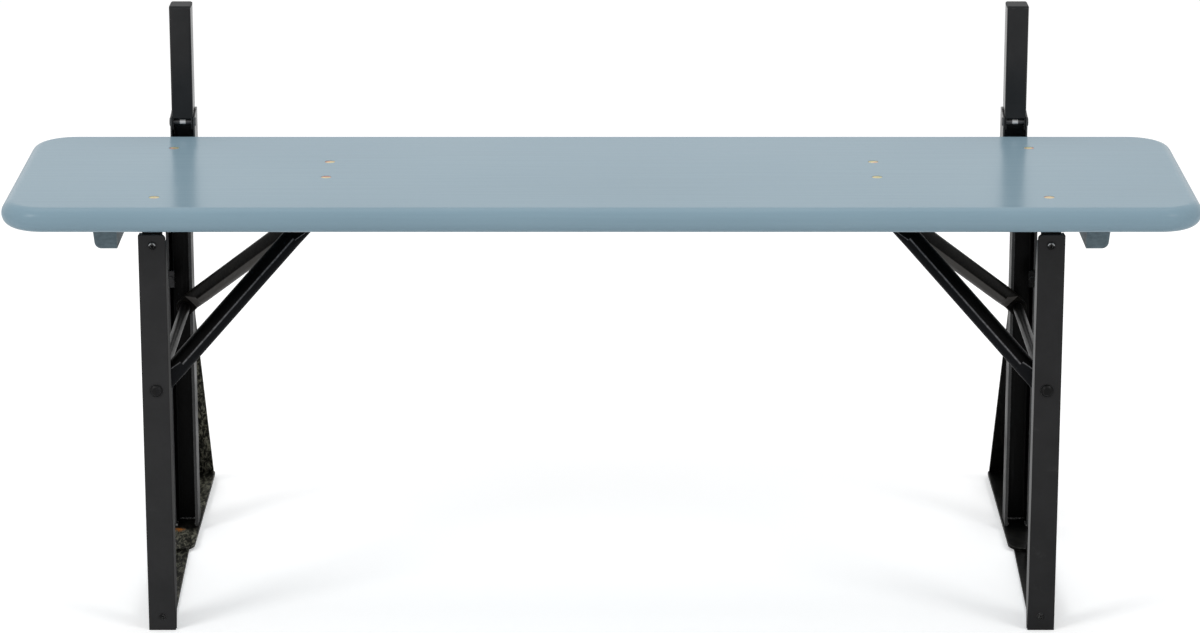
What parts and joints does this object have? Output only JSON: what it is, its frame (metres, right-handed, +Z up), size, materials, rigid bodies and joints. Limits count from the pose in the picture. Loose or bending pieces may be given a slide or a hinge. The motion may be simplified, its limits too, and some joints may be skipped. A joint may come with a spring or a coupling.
{
  "type": "folding bench",
  "caption": "Long folding bench: a thick round-edged seat board on folding steel leg frames with V braces, and folding backrest posts at its rear corners.",
  "frame": {"origin": "on the floor, at the middle of the bounding box", "axes": "+X along the bench to the right as a person facing the bench sees it, +Y to its rear, +Z up"},
  "size_m": [1.2, 0.564, 0.5925],
  "materials": {
    "seat_paint": "gloss slate paint over a fine grain",
    "batten_paint": "satin slate paint",
    "black_steel": "semi-gloss black enamel, worn bright on edges",
    "spring_steel": "bare spring steel",
    "zinc_steel": "dulled zinc",
    "yellow_zinc": "yellow passivated zinc",
    "black_plastic": "satin moulded plastic"
  },
  "bodies": {
    "seat": {"seat_board": "seat_paint", "seat_bolts": "yellow_zinc", "seat_nuts": "zinc_steel", "batten_screws": "zinc_steel", "clip_rivets": "zinc_steel", "end_batten_left": "batten_paint", "hinge_rail_left": "black_steel", "hinge_ear_front_left": "black_steel", "hinge_ear_rear_left": "black_steel", "hinge_pins_left": "zinc_steel", "latch_bracket_left": "black_steel", "latch_clip_left": "spring_steel", "post_channel_left": "black_steel", "post_bolt_left": "zinc_steel", "end_batten_right": "batten_paint", "hinge_rail_right": "black_steel", "hinge_ear_front_right": "black_steel", "hinge_ear_rear_right": "black_steel", "hinge_pins_right": "zinc_steel", "latch_bracket_right": "black_steel", "latch_clip_right": "spring_steel", "post_channel_right": "black_steel", "post_bolt_right": "zinc_steel"},
    "leg_left": {"front_leg_left": "black_steel", "rear_upright_left": "black_steel", "foot_rail_left": "black_steel", "foot_plate_left": "black_steel", "rear_brace_left": "black_steel", "stop_lug_left": "black_steel", "foot_rivet_left": "zinc_steel", "strut_axle_left": "zinc_steel", "axle_spacer_left": "black_steel", "axle_nut_left": "zinc_steel"},
    "brace_left": {"front_strut_left": "black_steel", "rear_strut_left": "black_steel", "catch_rod_left": "zinc_steel"},
    "post_left": {"back_post_left": "black_steel", "post_cap_left": "black_plastic"},
    "leg_right": {"front_leg_right": "black_steel", "rear_upright_right": "black_steel", "foot_rail_right": "black_steel", "foot_plate_right": "black_steel", "rear_brace_right": "black_steel", "stop_lug_right": "black_steel", "foot_rivet_right": "zinc_steel", "strut_axle_right": "zinc_steel", "axle_spacer_right": "black_steel", "axle_nut_right": "zinc_steel"},
    "brace_right": {"front_strut_right": "black_steel", "rear_strut_right": "black_steel", "catch_rod_right": "zinc_steel"},
    "post_right": {"back_post_right": "black_steel", "post_cap_right": "black_plastic"}
  },
  "joints": [
    {"name": "leg_left_fold", "type": "hinge", "parent": "seat", "child": "leg_left", "pos_m": [-0.45, 0, 0.4072], "axis": [0, -1, 0], "range_deg": [0, 84]},
    {"name": "brace_left_turn", "type": "hinge", "parent": "leg_left", "child": "brace_left", "pos_m": [-0.45, 0, 0.256], "axis": [0, -1, 0], "range_deg": [-135, 0]},
    {"name": "post_left_fold", "type": "hinge", "parent": "seat", "child": "post_left", "pos_m": [-0.4451, 0.056, 0.4666], "axis": [1, 0, 0], "range_deg": [0, 90]},
    {"name": "leg_right_fold", "type": "hinge", "parent": "seat", "child": "leg_right", "pos_m": [0.45, 0, 0.4072], "axis": [0, 1, 0], "range_deg": [0, 84]},
    {"name": "brace_right_turn", "type": "hinge", "parent": "leg_right", "child": "brace_right", "pos_m": [0.45, 0, 0.256], "axis": [0, 1, 0], "range_deg": [-135, 0]},
    {"name": "post_right_fold", "type": "hinge", "parent": "seat", "child": "post_right", "pos_m": [0.4395, 0.056, 0.4666], "axis": [1, 0, 0], "range_deg": [0, 90]}
  ],
  "couplings": [
    {"joint": "brace_left_turn", "follows": "leg_left_fold", "ratio": -1.6071},
    {"joint": "brace_right_turn", "follows": "leg_right_fold", "ratio": -1.6071}
  ]
}
